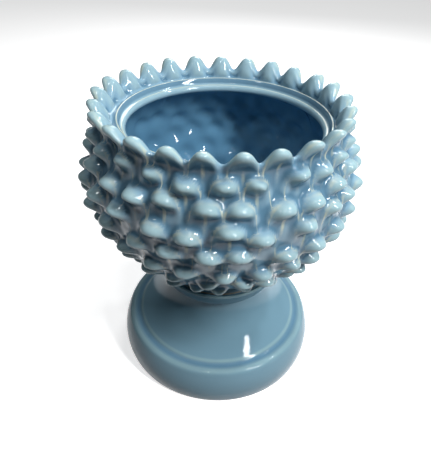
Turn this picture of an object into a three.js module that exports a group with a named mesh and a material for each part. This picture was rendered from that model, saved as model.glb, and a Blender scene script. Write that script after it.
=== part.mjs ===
// Jardiniere on stand: a glazed earthenware pot, cased in rows of leaf scales like a
// pine cone, that sits loose in the cupped collar of a hollow, waisted stand.
// Millimetres, +Z up. The origin is on the floor at the centre of the stand's foot.
import * as THREE from "three";

const TAU = 2 * Math.PI;
const degrees = (angle) => (angle * Math.PI) / 180;

// ---------------------------------------------------------------- stand sizes
const FOOT_RADIUS = 116; // outer edge of the stand on the floor
const FOOT_LAND = 8; // width of the flat ring that the stand rests on
const SKIRT_BULGE = 6; // how far the skirt's control point stands outside the foot
const SKIRT_HEIGHT = 41; // floor to the top of the skirt
const SKIRT_TAPER = 4.3; // how far the skirt's top stands inside the foot
const SHOULDER_WIDTH = 5.9; // skirt's top in to the crest of the rounded step above it
const SHOULDER_RISE = 3.5; // skirt's top up to that crest
const SHOULDER_ROUND = 0.8; // how full the step is, between the two
const GROOVE_WIDTH = 9.6; // shoulder's crest in to the outer edge of the flare
const GROOVE_DEPTH = 0.6; // bottom of the groove below the shoulder's crest
const FLARE_RISE = 1.6; // flare's edge above the shoulder's crest
const FLARE_PULL_WIDTH = 8; // control point that draws the flare in, outside the waist
const FLARE_PULL_RISE = 19; // that point above the flare's edge
const WAIST_RADIUS = 54; // narrowest place of the stand
const WAIST_DROP = 26.7; // collar's rim down to the waist
const COLLAR_RADIUS = 71.5; // outer edge of the collar that takes the pot
const COLLAR_HEIGHT = 122.7; // floor to the collar's rim
const COLLAR_LIP = 3; // thickness of the collar at its rim
const COLLAR_WALL = 5.9; // thickness of the collar at its seat
const COLLAR_DEPTH = 7.7; // rim down to the seat inside the collar
const COLLAR_EDGE = 1.5; // rounding of the collar's rim
const CUP_PULL_WIDTH = 3.5; // control point that rounds the cup under the collar, in from the rim
const CUP_PULL_DROP = 17; // that point below the rim
const STAND_WALL = 7; // thickness of the stand's casting
const CORNER_DROP = 9.8; // flare's edge down to the inner corner under it
const SEAT_THICKNESS = 8; // thickness of the flat seat

// ---------------------------------------------------------------- mouth sizes
const MOUTH_RADIUS = 94.5; // clear opening of the mouth
const LIP_WIDTH = 3.4; // mouth out to the inner ridge
const BEVEL_WIDTH = 4.1; // inner ridge out to the outer ridge
const BEVEL_DROP = 6.6; // outer ridge down to the inner ridge
const BEVEL_HOLLOW = 0.8; // hollow of the bevel between the two ridges
const GUTTER_WIDTH = 4.3; // outer ridge out to the bottom of the gutter inside the teeth
const GUTTER_DROP = 1.8; // outer ridge down to the gutter's bottom
const GUTTER_CORNER = 1.6; // gutter's bottom out to the inside of the teeth
const MOUTH_DROP = 14; // outer ridge down to the mouth's lower edge
const FLANGE_CORNER = 7; // radius under the mouth's inward lip

// ------------------------------------------------------------------ pot sizes
const RIM_HEIGHT = 202.7; // pot's foot to the tips of the rim's teeth
const TEETH_RISE = 18; // outer ridge, level with the narrowest place, up to the tips
const TOOTH_HEIGHT = 11.5; // web between two teeth up to their tips
const TOOTH_FOOT = 6.6; // thickness of the rim's wall at the webs
const TOOTH_TIP = 4.5; // the same at the tips, before the scale outside is added
const TOOTH_BEVEL = 5; // rounding of the teeth's inner edge
const TOOTH_POWER = 1.4; // how full the teeth are
const RIM_LEAN = 0.07; // how fast the wall leans out above the ridge
const SHELL_DRIFT = 3; // how far the pot's wall stands off the mouth's axis at the rim, to -X
const BELLY_SWELL = 14.8; // how far the widest place stands outside the narrowest
const BELLY_DROP = 72; // tips of the rim's teeth down to the widest place
const BOWL_ROUNDNESS = 2; // power of the curve from the belly to the foot
const BOWL_FULLNESS = 1.12; // how slim that curve is near the foot
const POT_WALL = 8; // thickness of the pot's casting
const FLOOR_THICKNESS = 11; // above the hollow in the pot's foot
const FLOOR_CORNER = 9; // width of the rounding between the floor and the wall inside
const SEAT_GAP = 0.3; // under the pot's foot ring, where it rests on the seat
const FOOT_CLEARANCE = 4.5; // between the pot's foot ring and the collar
const BOWL_START = 0.7; // how far below the collar's rim the bowl starts to widen
const POT_FOOT_WIDTH = 8; // width of the pot's foot ring
const POT_FOOT_HOLLOW = 3.5; // depth of the hollow inside the foot ring
const POT_FOOT_BEVEL = 1; // bevel at the foot ring's outer edge

// ---------------------------------------------------------------- scale sizes
const SCALES = 25; // scales in each row round the pot
// Rows from the rim down: how far the tips lie below the rim's, the turn of the row and
// how far the lip stands off the wall; then how far tips stray in height and in degrees.
const ROWS = [
  { drop: 0, turn: -5.2, lip: 12.5, wander: 0, stray: 0.8 },
  { drop: 14.5, turn: 2, lip: 14, wander: 2.5, stray: 2.4 },
  { drop: 33, turn: -5.2, lip: 15, wander: 4, stray: 2.4 },
  { drop: 53, turn: 3.2, lip: 15, wander: 5.5, stray: 2.4 },
  { drop: 78.5, turn: -4.4, lip: 15, wander: 5.5, stray: 2.4 },
  { drop: 104, turn: 2.8, lip: 15, wander: 5, stray: 2.4 },
  { drop: 127, turn: -4.6, lip: 15, wander: 4, stray: 2.4 },
  { drop: 148, turn: 2.6, lip: 13, wander: 2, stray: 1.5 },
];
const SCALE_LENGTH = 25; // tip to the ends of the legs, at the belly
const SCALE_HALF_WIDTH = 15.2; // at the ends of the legs
const TIP_ROUND = 7; // how far the nose's outline drops from the tip to its ends
const LEG_POWER = 8; // how sharply that outline turns down into the legs
const SCALE_SPREAD = 1.3; // half widths at which a scale's face ends
const LIP_SHARE = 0.2; // half widths over which the lip keeps its full height
const LIP_EDGE = 11.5; // arch to the crest of the lip
const LIP_FULLNESS = 0.6; // how slim the lip's upper side is
const LIP_UNDERCUT = 4; // crest of the lip to the face under it
const LEG_HEIGHT = 2.6; // crest of the legs above the wall
const LEG_EDGE = 1.8; // arch to the crest of the legs
const FACE_HEIGHT = 2; // face under the lip, above the wall
const FACE_REACH = 0.8; // face's least length, in lengths of the scale
const FACE_FADE = 0.8; // share of its length over which the face sinks into the wall
const LIP_FADE = 0.4; // share of the face's length over which the lip may sink away
const RIB_HEIGHT = 1; // rib down the middle of the face
const RIB_WIDTH = 2.2;
const RIB_START = 9; // tip down to the rib
const RIB_RAMP = 5; // length over which the rib rises
const BLEND_POWER = 5; // how sharply neighbouring scales meet
const LEAN_LOW = 2; // degrees that the lowest scales point up
const LEAN_TOP = 32; // degrees that the highest scales point up
const SIZE_STRAY = 0.1; // how much the scales differ in size
const TILT_STRAY = 0.16; // how far the scales lean to one side, as a slope
const TILT_CENTRE = 8; // tip down to the place that a leaning scale turns about
const HAND = 358393; // picks one set of the small differences between the scales

// ------------------------------------------------------------------ mesh steps
const STAND_SEGMENTS = 64;
const STEPS_PER_SCALE = 6;
const COLUMNS = SCALES * STEPS_PER_SCALE;
const PLAIN_COLUMNS = COLUMNS / 2; // on the rings that have no scales
const INSIDE_STEPS = 6; // bands down the inside of the pot
const DIP_DEPTH = 14; // how far the mesh rings dip between two scales
const LEAST_BAND = 4; // least room between the rings of two rows
const BAND_DEPTH = 17; // arch to the last ring of a scale
const BAND_FILL = 0.85; // share of the room between two rows that the rings take
const RIM_SHARES = [0, 0.2, 0.62, 0.95]; // crest line, lip edge, lip crest and face
const SCALE_SHARES = [-0.06, 0.2, 0.62, 0.95]; // valley, lip edge, lip crest and face
const LOW_SHARES = [-0.06, 0.5, 0.95]; // the same for the small rows near the foot
const LOW_ROWS = 2;

// ------------------------------------------------------------ sizes that follow
const SEAT_HEIGHT = COLLAR_HEIGHT - COLLAR_DEPTH;
const COLLAR_INNER = COLLAR_RADIUS - COLLAR_WALL;
const SKIRT_TOP_RADIUS = FOOT_RADIUS - SKIRT_TAPER;
const SHOULDER_RADIUS = SKIRT_TOP_RADIUS - SHOULDER_WIDTH;
const SHOULDER_HEIGHT = SKIRT_HEIGHT + SHOULDER_RISE;
const FLARE_RADIUS = SHOULDER_RADIUS - GROOVE_WIDTH;
const FLARE_HEIGHT = SHOULDER_HEIGHT + FLARE_RISE;
const WAIST_HEIGHT = COLLAR_HEIGHT - WAIST_DROP;
const POT_FOOT = SEAT_HEIGHT + SEAT_GAP;
const POT_FLOOR = POT_FOOT + POT_FOOT_HOLLOW + FLOOR_THICKNESS;
const POT_FOOT_RADIUS = COLLAR_INNER - FOOT_CLEARANCE;
const POT_FOOT_RISE = COLLAR_DEPTH - SEAT_GAP - BOWL_START;
const RIDGE_HEIGHT = RIM_HEIGHT - TEETH_RISE;
const INNER_RIDGE_RADIUS = MOUTH_RADIUS + LIP_WIDTH;
const RIDGE_RADIUS = INNER_RIDGE_RADIUS + BEVEL_WIDTH;
const GUTTER_RADIUS = RIDGE_RADIUS + GUTTER_WIDTH;
const THROAT_RADIUS = GUTTER_RADIUS + GUTTER_CORNER + TOOTH_FOOT;
const BELLY_RADIUS = THROAT_RADIUS + BELLY_SWELL;
const BELLY_HEIGHT = RIM_HEIGHT - BELLY_DROP;
const PITCH = TAU / SCALES;
const FIRST_COLUMN = degrees(ROWS[0].turn - 90); // the scales are counted from the front

/** A repeatable number from -1 to 1 for one scale of one row. */
function stray(row, scale, kind) {
  const turned = (scale % SCALES + SCALES) % SCALES;
  const wave = Math.sin(row * 12.9898 + turned * 78.233 + kind * 37.719 + HAND) * 43758.5453;
  return 2 * (wave - Math.floor(wave)) - 1;
}

/** 0 below from, 1 above to, and a smooth curve between them. */
function ease(value, from, to) {
  return THREE.MathUtils.smoothstep(value, from, to);
}

// ---------------------------------------------------------------------- stand
const point = (radius, height) => new THREE.Vector2(radius, height);

// The skirt, the flare and the cup under the collar as curves from the floor up.
const SKIRT = new THREE.QuadraticBezierCurve(
  point(FOOT_RADIUS, 0),
  point(FOOT_RADIUS + SKIRT_BULGE, SKIRT_HEIGHT / 2),
  point(SKIRT_TOP_RADIUS, SKIRT_HEIGHT),
);
const FLARE = new THREE.QuadraticBezierCurve(
  point(FLARE_RADIUS, FLARE_HEIGHT),
  point(WAIST_RADIUS + FLARE_PULL_WIDTH, FLARE_HEIGHT + FLARE_PULL_RISE),
  point(WAIST_RADIUS, WAIST_HEIGHT),
);
const CUP_TOP = COLLAR_HEIGHT - COLLAR_EDGE;
const CUP = new THREE.QuadraticBezierCurve(
  point(WAIST_RADIUS, WAIST_HEIGHT),
  point(COLLAR_RADIUS - CUP_PULL_WIDTH, CUP_TOP - CUP_PULL_DROP),
  point(COLLAR_RADIUS, CUP_TOP),
);

/** The point a wall's thickness inside the stand's skin, at a share along a curve of it. */
function underSkin(curve, share) {
  const at = curve.getPoint(share);
  const along = curve.getTangent(share);
  return point(at.x - along.y * STAND_WALL, at.y + along.x * STAND_WALL);
}

/** The stand's outline from the axis under its seat, round the foot, to the axis above. */
function standProfile() {
  const shoulderMiddle = (SKIRT_TOP_RADIUS + SHOULDER_RADIUS) / 2;
  const outside = [
    ...SKIRT.getPoints(4),
    point(shoulderMiddle + SHOULDER_ROUND, SHOULDER_HEIGHT - SHOULDER_ROUND),
    point(SHOULDER_RADIUS, SHOULDER_HEIGHT),
    point(SHOULDER_RADIUS - GROOVE_WIDTH / 2, SHOULDER_HEIGHT - GROOVE_DEPTH),
    ...FLARE.getPoints(7),
    ...CUP.getPoints(4).slice(1),
  ];
  const collar = [
    point(COLLAR_RADIUS - COLLAR_EDGE, COLLAR_HEIGHT),
    point(COLLAR_RADIUS - COLLAR_LIP, COLLAR_HEIGHT - COLLAR_EDGE / 2),
    point(COLLAR_INNER, SEAT_HEIGHT),
    point(0, SEAT_HEIGHT),
  ];
  const ceiling = SEAT_HEIGHT - SEAT_THICKNESS;
  const inside = [
    point(0, ceiling),
    point(WAIST_RADIUS - STAND_WALL, ceiling),
    underSkin(CUP, 0.25),
    underSkin(FLARE, 1),
    underSkin(FLARE, 0.7),
    underSkin(FLARE, 0.35),
    underSkin(FLARE, 0),
    point(SKIRT_TOP_RADIUS - STAND_WALL, FLARE_HEIGHT - CORNER_DROP),
    underSkin(SKIRT, 0.5),
    point(FOOT_RADIUS - FOOT_LAND, 0),
  ];
  return [...inside, ...outside, ...collar];
}

/** The hollow stand: foot, skirt, shoulder, flare, waist, collar and seat in one casting. */
function buildStand(material) {
  return named("stand", solidOfRevolution(standProfile()), material);
}

/** A closed solid from a profile that starts and ends on the axis. */
function solidOfRevolution(profile) {
  const rings = profile.slice(1, -1).map(({ x, y }) => circle(STAND_SEGMENTS, x, y));
  return closedSkin(rings, profile[0].y, profile.at(-1).y);
}

// ----------------------------------------------------------------- ring meshes
/** A level ring of points from the first column's angle, moved to -X by its drift. */
function circle(columns, radius, height, drift = 0) {
  return Array.from({ length: columns }, (_, column) => {
    const angle = FIRST_COLUMN + (column / columns) * TAU;
    return new THREE.Vector3(Math.cos(angle) * radius - drift, Math.sin(angle) * radius, height);
  });
}

/** Joins rings in order into one closed skin, with a point on the axis at each end. */
function closedSkin(rings, firstHeight, lastHeight) {
  const corners = [];
  const faces = [];
  const starts = rings.map((ring) => {
    const start = corners.length;
    corners.push(...ring);
    return start;
  });
  const firstPole = corners.push(new THREE.Vector3(0, 0, firstHeight)) - 1;
  const lastPole = corners.push(new THREE.Vector3(0, 0, lastHeight)) - 1;
  fan(faces, starts[0], rings[0].length, firstPole, true);
  for (let i = 1; i < rings.length; i++) {
    strip(faces, starts[i - 1], rings[i - 1].length, starts[i], rings[i].length);
  }
  fan(faces, starts.at(-1), rings.at(-1).length, lastPole, false);
  const geometry = new THREE.BufferGeometry().setFromPoints(corners);
  geometry.setIndex(faces);
  geometry.computeVertexNormals();
  return geometry;
}

/** Closes a ring onto a point on the axis. */
function fan(faces, start, columns, pole, first) {
  for (let column = 0; column < columns; column++) {
    const here = start + column;
    const next = start + ((column + 1) % columns);
    faces.push(...(first ? [pole, next, here] : [pole, here, next]));
  }
}

/** Joins two rings, where one may have twice as many points as the other. */
function strip(faces, lower, lowerCount, upper, upperCount) {
  const columns = Math.min(lowerCount, upperCount);
  const lowerStep = lowerCount / columns;
  const upperStep = upperCount / columns;
  for (let column = 0; column < columns; column++) {
    const a = lower + column * lowerStep;
    const b = lower + (((column + 1) * lowerStep) % lowerCount);
    const c = upper + (((column + 1) * upperStep) % upperCount);
    const d = upper + column * upperStep;
    if (lowerStep === 2) {
      faces.push(a, a + 1, d, a + 1, c, d, a + 1, b, c);
    } else if (upperStep === 2) {
      faces.push(a, d + 1, d, a, b, d + 1, b, c, d + 1);
    } else {
      faces.push(a, b, c, a, c, d);
    }
  }
}

// ------------------------------------------------------------------- pot wall
/** The pot's wall between the scales, from the foot ring up to the rim's tips. */
class WallCurve extends THREE.Curve {
  getPoint(share, target = new THREE.Vector2()) {
    const height = THREE.MathUtils.lerp(POT_FOOT_RISE, RIM_HEIGHT, share);
    return target.set(wallRadius(height), POT_FOOT + height);
  }
}

/** Radius of the wall between the scales at a height above the pot's foot. */
function wallRadius(height) {
  if (height < BELLY_HEIGHT) {
    const drop = (BELLY_HEIGHT - height) / (BELLY_HEIGHT - POT_FOOT_RISE);
    const swell = Math.pow(Math.max(0, 1 - Math.pow(drop, BOWL_ROUNDNESS)), BOWL_FULLNESS);
    return THREE.MathUtils.lerp(POT_FOOT_RADIUS, BELLY_RADIUS, swell);
  }
  const rise = Math.min(1, (height - BELLY_HEIGHT) / (RIDGE_HEIGHT - BELLY_HEIGHT));
  const drawIn = (1 - Math.cos(Math.PI * rise)) / 2;
  const lean = RIM_LEAN * Math.max(0, height - RIDGE_HEIGHT);
  return THREE.MathUtils.lerp(BELLY_RADIUS, THROAT_RADIUS, drawIn) + lean;
}

const WALL = new WallCurve();
const WALL_STEPS = 400;
const WALL_LENGTHS = WALL.getLengths(WALL_STEPS);
const WALL_LENGTH = WALL_LENGTHS[WALL_STEPS];

/** Distance along the wall, up from the foot, of a height above the pot's foot. */
function stationOf(height) {
  const share = (height - POT_FOOT_RISE) / (RIM_HEIGHT - POT_FOOT_RISE);
  const step = THREE.MathUtils.clamp(share, 0, 1) * WALL_STEPS;
  const below = Math.min(WALL_STEPS - 1, Math.floor(step));
  return THREE.MathUtils.lerp(WALL_LENGTHS[below], WALL_LENGTHS[below + 1], step - below);
}

/** The wall's own place and its outward direction at a distance up from the foot. */
function wallAt(station) {
  const share = THREE.MathUtils.clamp(station / WALL_LENGTH, 0, 1);
  const place = WALL.getPointAt(share);
  const along = WALL.getTangentAt(share);
  return { radius: place.x, height: place.y, outX: along.y, outZ: -along.x };
}

/** Degrees by which the scales at a height point up from the level. */
function leanAt(height) {
  const share = (height - POT_FOOT) / RIM_HEIGHT;
  return degrees(THREE.MathUtils.lerp(LEAN_LOW, LEAN_TOP, share * share));
}

// --------------------------------------------------------------------- scales
/** Every scale's own place, turn and size, row by row. */
const SCALE_ROWS = ROWS.map((row, index) => {
  const tip = RIM_HEIGHT - row.drop;
  const lift = index === 0 ? 0 : row.lip * Math.sin(leanAt(POT_FOOT + tip));
  const station = stationOf(tip - lift);
  const reach = wallAt(station).radius / BELLY_RADIUS;
  const scales = Array.from({ length: SCALES }, (_, scale) => ({
    angle: degrees(row.turn - 90 + row.stray * stray(index, scale, 1)) + scale * PITCH,
    station: station + row.wander * stray(index, scale, 2),
    size: reach * (1 + SIZE_STRAY * stray(index, scale, 3)),
    lip: row.lip * (1 + SIZE_STRAY * stray(index, scale, 4)),
    tilt: index === 0 ? 0 : TILT_STRAY * stray(index, scale, 5),
  }));
  return { ...row, station, scales };
});

/** Station of the row that lies two rows below, where a scale's face has run out. */
function faceEnd(index) {
  const below = SCALE_ROWS[Math.min(index + 2, SCALE_ROWS.length - 1)];
  const fall = SCALE_ROWS[index].station - below.station;
  return Math.max(fall, SCALE_LENGTH * FACE_REACH);
}

/** Height of one scale above the wall, at a place across and down from its tip. */
function scaleHeight(across, down, scale, faceLength) {
  const halfWidth = SCALE_HALF_WIDTH * scale.size;
  const side = Math.abs(across) / halfWidth;
  if (side > SCALE_SPREAD || down <= 0 || down > faceLength) return 0;
  const { drop, slope } = archAt(Math.abs(across), scale.size);
  const inside = (down - drop) / Math.hypot(1, slope);
  if (inside <= 0) return 0;
  const leg = ease(side, LIP_SHARE, 1);
  const crest = THREE.MathUtils.lerp(scale.lip, LEG_HEIGHT, leg);
  const edge = THREE.MathUtils.lerp(LIP_EDGE, LEG_EDGE, leg) * scale.size;
  const rise = Math.pow(1 - Math.pow(1 - Math.min(1, inside / edge), 2), LIP_FULLNESS);
  const under = ease(inside, edge, edge + LIP_UNDERCUT * scale.size);
  const runOut = 1 - down / faceLength;
  const ribRise = ease(down, RIB_START, RIB_START + RIB_RAMP);
  const rib = RIB_HEIGHT * Math.exp(-Math.pow(across / RIB_WIDTH, 2)) * ribRise;
  const face = (FACE_HEIGHT + rib) * Math.min(1, runOut / FACE_FADE);
  const lip = Math.max(0, crest - face) * (1 - under) * Math.min(1, runOut / LIP_FADE);
  return rise * (face + lip);
}

/** Height of all the scales above the wall at an angle and a station. */
function reliefAt(angle, station) {
  const radius = wallAt(station).radius;
  let sum = 0;
  SCALE_ROWS.forEach((row, index) => {
    const faceLength = faceEnd(index);
    const nearest = Math.round((angle - degrees(row.turn - 90)) / PITCH);
    for (let scale = nearest - 1; scale <= nearest + 1; scale++) {
      const own = scaleOf(index, scale);
      const down = own.station - station;
      const across = radius * wrapped(angle - own.angle) - own.tilt * (down - TILT_CENTRE);
      const height = scaleHeight(across, down, own, faceLength);
      sum += Math.pow(height, BLEND_POWER);
    }
  });
  return Math.pow(sum, 1 / BLEND_POWER);
}

/** An angle brought between minus half a turn and half a turn. */
function wrapped(angle) {
  return angle - TAU * Math.round(angle / TAU);
}

// ------------------------------------------------------------------ pot skin
/** One of a row's scales, counted round the pot past its last one. */
function scaleOf(index, scale) {
  return SCALE_ROWS[index].scales[((scale % SCALES) + SCALES) % SCALES];
}

/** Angle and station of a row's arches at a column: its tips, and the dips between them. */
function archPoint(index, column, below) {
  const turned = column - (index % 2) * (STEPS_PER_SCALE / 2);
  const before = Math.floor(turned / STEPS_PER_SCALE);
  const share = turned / STEPS_PER_SCALE - before;
  const left = scaleOf(index, before);
  const right = scaleOf(index, before + 1);
  const step = right.angle - left.angle + (right.angle < left.angle ? TAU : 0);
  const angle = left.angle + share * step;
  const tip = THREE.MathUtils.lerp(left.station, right.station, ease(share, 0, 1));
  if (index === 0) {
    const dip = Math.pow((1 - Math.cos(TAU * share)) / 2, TOOTH_POWER);
    return { angle, station: tip - TOOTH_HEIGHT * dip };
  }
  const across = Math.min(share, 1 - share) * PITCH * wallAt(tip).radius;
  const arch = tip - Math.min(DIP_DEPTH, archAt(across, left.size).drop);
  return { angle, station: below ? Math.max(arch, below[column].station + LEAST_BAND) : arch };
}

/** How far a scale's arch has dropped at a distance across from its tip, and its slope. */
function archAt(across, size) {
  const side = across / (SCALE_HALF_WIDTH * size);
  const nose = TIP_ROUND * size * side * side;
  const legs = (SCALE_LENGTH - TIP_ROUND) * size * Math.pow(side, LEG_POWER);
  const slope = (2 * nose + LEG_POWER * legs) / Math.max(across, 0.01);
  return { drop: nose + legs, slope };
}

/** Every row's arches, column by column, worked out from the lowest row up. */
function allArches() {
  const arches = [];
  for (let index = ROWS.length - 1; index >= 0; index--) {
    const columns = Array.from({ length: COLUMNS }, (_, column) => column);
    arches[index] = columns.map((column) => archPoint(index, column, arches[index + 1]));
  }
  return arches;
}

const ARCHES = allArches();

/** A ring that follows a row's arches, some way down towards the next row's. */
function scaleRing(index, share) {
  return ARCHES[index].map(({ angle, station }, column) => {
    const below = ARCHES[index + 1];
    const room = below ? station - below[column].station : 2 * BAND_DEPTH;
    const place = station - share * Math.min(BAND_DEPTH, BAND_FILL * room);
    return placeOnWall(angle, place, reliefAt(angle, place));
  });
}

/** A point of the pot's outside, raised off the wall by the relief there. */
function placeOnWall(angle, station, relief) {
  const wall = wallAt(station);
  const lean = leanAt(wall.height);
  const radius = wall.radius + relief * Math.cos(lean);
  return shellPoint(angle, radius, wall.height + relief * Math.sin(lean));
}

/** How far the pot's wall has drifted off the mouth's axis at a height. */
function driftAt(height) {
  return (SHELL_DRIFT * (height - POT_FOOT)) / RIM_HEIGHT;
}

/** A point of the pot's drifting shell. */
function shellPoint(angle, radius, height) {
  const x = Math.cos(angle) * radius - driftAt(height);
  return new THREE.Vector3(x, Math.sin(angle) * radius, height);
}

/** The ring just inside the teeth, a little below their crest line. */
function toothInside() {
  return ARCHES[0].map(({ angle, station }) => {
    const crest = wallAt(station);
    const share = (crest.height - POT_FOOT - RIDGE_HEIGHT) / TEETH_RISE;
    const thickness = THREE.MathUtils.lerp(TOOTH_FOOT, TOOTH_TIP, share);
    return shellPoint(angle, crest.radius - thickness, crest.height - TOOTH_BEVEL);
  });
}

/** The mouth from the gutter inside the teeth to the lip's lower edge. */
function mouthRings() {
  const ridge = POT_FOOT + RIDGE_HEIGHT;
  const innerRidge = ridge - BEVEL_DROP;
  const bevelRadius = (RIDGE_RADIUS + INNER_RIDGE_RADIUS) / 2;
  const bevel = (ridge + innerRidge) / 2 - BEVEL_HOLLOW;
  const mouth = ridge - MOUTH_DROP;
  return [
    [GUTTER_RADIUS, ridge - GUTTER_DROP],
    [RIDGE_RADIUS, ridge],
    [bevelRadius, bevel],
    [INNER_RIDGE_RADIUS, innerRidge],
    [MOUTH_RADIUS, (innerRidge + mouth) / 2],
    [MOUTH_RADIUS, mouth],
  ];
}

/** The inside of the pot, a wall's thickness in from the outside, down to its flat floor. */
function insideRings() {
  const under = POT_FOOT + RIDGE_HEIGHT - MOUTH_DROP;
  const cornerRadius = wallRadius(RIDGE_HEIGHT - MOUTH_DROP) - POT_WALL;
  const rings = [
    [(MOUTH_RADIUS + cornerRadius) / 2, under],
    [cornerRadius, under - FLANGE_CORNER],
  ];
  const highest = stationOf(RIDGE_HEIGHT - MOUTH_DROP - 2 * FLANGE_CORNER);
  const lowest = stationOf(POT_FOOT_RISE + POT_WALL);
  for (let step = 0; step <= INSIDE_STEPS; step++) {
    const wall = wallAt(THREE.MathUtils.lerp(highest, lowest, step / INSIDE_STEPS));
    rings.push([wall.radius - wall.outX * POT_WALL, wall.height - wall.outZ * POT_WALL]);
  }
  rings.push([rings.at(-1)[0] - FLOOR_CORNER, POT_FLOOR]);
  return rings;
}

/** The foot ring that rests on the stand's seat, and the hollow inside it. */
function footRings() {
  const inner = POT_FOOT_RADIUS - POT_FOOT_WIDTH;
  return [
    [inner - POT_FOOT_HOLLOW / 2, POT_FOOT + POT_FOOT_HOLLOW],
    [inner, POT_FOOT],
    [POT_FOOT_RADIUS - POT_FOOT_BEVEL, POT_FOOT],
    [POT_FOOT_RADIUS, POT_FOOT + POT_FOOT_RISE],
  ];
}

/** Where the rings of a row lie, as shares of the band below its arches. */
function ringShares(index) {
  if (index === 0) return RIM_SHARES;
  return index < ROWS.length - LOW_ROWS ? SCALE_SHARES : LOW_SHARES;
}

/** The pot: foot ring, bowl, scales, teeth, mouth and inside in one casting. */
function buildPot(material) {
  const plain = ([radius, height]) => circle(PLAIN_COLUMNS, radius, height);
  const drifting = ([radius, height]) => circle(PLAIN_COLUMNS, radius, height, driftAt(height));
  const rings = footRings().map(plain);
  for (let index = ROWS.length - 1; index >= 0; index--) {
    for (const share of [...ringShares(index)].reverse()) rings.push(scaleRing(index, share));
  }
  rings.push(toothInside());
  rings.push(...mouthRings().map(plain));
  rings.push(...insideRings().map(drifting));
  const geometry = closedSkin(rings, POT_FOOT + POT_FOOT_HOLLOW, POT_FLOOR);
  return named("pot", geometry, material);
}

// ------------------------------------------------------------------- assembly
/** A mesh with the name of its piece. */
function named(name, geometry, material) {
  const mesh = new THREE.Mesh(geometry, material);
  mesh.name = name;
  return mesh;
}

/** Duck-egg blue glaze over earthenware. */
function glaze(colour) {
  return new THREE.MeshStandardMaterial({ color: colour, roughness: 0.12, metalness: 0 });
}

const group = new THREE.Group();
group.add(buildStand(glaze("#7a9fb2")));
group.add(buildPot(glaze("#94b9c4")));

export default group;
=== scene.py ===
"""Jardiniere on stand: a glazed earthenware pot cased in leaf scales, on a waisted stand.

Lengths are in millimetres inside the classes and turn to metres when a mesh is made.
Azimuth 0 is the front, towards -Y, and grows towards +X.
"""

import logging
import math
from dataclasses import dataclass, field
from enum import Enum

import bpy
import numpy as np
from mathutils import Matrix, Vector

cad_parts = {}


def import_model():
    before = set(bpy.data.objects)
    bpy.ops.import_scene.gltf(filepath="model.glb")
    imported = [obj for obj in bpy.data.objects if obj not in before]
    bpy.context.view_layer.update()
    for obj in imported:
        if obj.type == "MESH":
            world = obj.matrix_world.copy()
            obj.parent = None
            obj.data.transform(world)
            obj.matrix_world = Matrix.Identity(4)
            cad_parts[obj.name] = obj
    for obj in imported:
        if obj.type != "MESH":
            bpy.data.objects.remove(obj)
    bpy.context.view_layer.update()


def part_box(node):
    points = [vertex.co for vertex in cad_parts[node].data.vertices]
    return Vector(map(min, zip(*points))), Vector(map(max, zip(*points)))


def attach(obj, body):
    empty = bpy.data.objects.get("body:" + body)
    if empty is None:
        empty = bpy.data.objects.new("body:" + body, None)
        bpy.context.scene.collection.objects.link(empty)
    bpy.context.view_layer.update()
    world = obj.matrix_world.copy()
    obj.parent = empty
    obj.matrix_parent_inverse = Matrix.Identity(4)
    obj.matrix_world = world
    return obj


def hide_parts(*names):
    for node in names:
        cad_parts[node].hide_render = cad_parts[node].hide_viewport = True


MM = 0.001
TAU = 2 * math.pi
SEAT_GAP = 0.3  # the pot's foot ring stands this far above the stand's seat
LOG = logging.getLogger("jardiniere")

Number = float | np.ndarray
Corner = tuple[float, float]


# ------------------------------------------------------------------ small helpers
def smoothstep(value: np.ndarray, low: Number, high: Number) -> np.ndarray:
    """Returns 0 below low, 1 above high, and a smooth curve between them."""
    share = np.clip((value - low) / (high - low), 0.0, 1.0)
    return share * share * (3.0 - 2.0 * share)


def lerp(low: Number, high: Number, share: Number) -> Number:
    """Returns the value that lies at a share of the way from low to high."""
    return low + (high - low) * share


def wrapped(angle: np.ndarray) -> np.ndarray:
    """Returns an angle brought between minus half a turn and half a turn."""
    return angle - TAU * np.round(angle / TAU)


def linear_colour(hex_code: str) -> tuple[float, float, float, float]:
    """Turns an sRGB hex colour into Blender's linear values.

    Args:
        hex_code: Six hex digits after a hash sign.

    Returns:
        Red, green, blue and an alpha of 1.
    """
    channels = [int(hex_code[i : i + 2], 16) / 255 for i in (1, 3, 5)]
    linear = [c / 12.92 if c <= 0.04045 else ((c + 0.055) / 1.055) ** 2.4 for c in channels]
    return (linear[0], linear[1], linear[2], 1.0)


# ------------------------------------------------------------------ ring meshes
class Role(Enum):
    """What a vertex value tells the glaze."""

    EDGE = "edge_mm"  # distance in from a scale's outline
    RIB = "rib_mm"  # distance sideways from a scale's rib
    EDGE_BREAK = "edge_break"  # how far the glaze breaks along the outline
    RIB_BREAK = "rib_break"  # the same along the rib
    THIN = "thin"  # glaze drawn thin over a crest, 0 to 1
    POOL_AND_SHADE = "pool_and_shade"  # glaze gathered in a hollow, with painted shade there, 0 to 1
    INSIDE = "inside"  # 1 on the inside of the hollow ware; on the pot its colour is painted shade
    CREAM = "cream"  # 1 on a turned ridge where the glaze has run off
    BARE = "bare"  # 1 where the clay is wiped clean of glaze


@dataclass
class RingGrid:
    """Rings of points, from the first pole to the last, with values for the glaze.

    Attributes:
        points: Rings by columns by three coordinates, in millimetres.
        values: Rings by columns for each role that isn't 0 all over.
    """

    points: np.ndarray
    values: dict[Role, np.ndarray] = field(default_factory=dict)

    def value(self, role: Role) -> np.ndarray:
        """Returns the values of a role, or zeros."""
        return self.values.get(role, np.zeros(self.points.shape[:2]))


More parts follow.
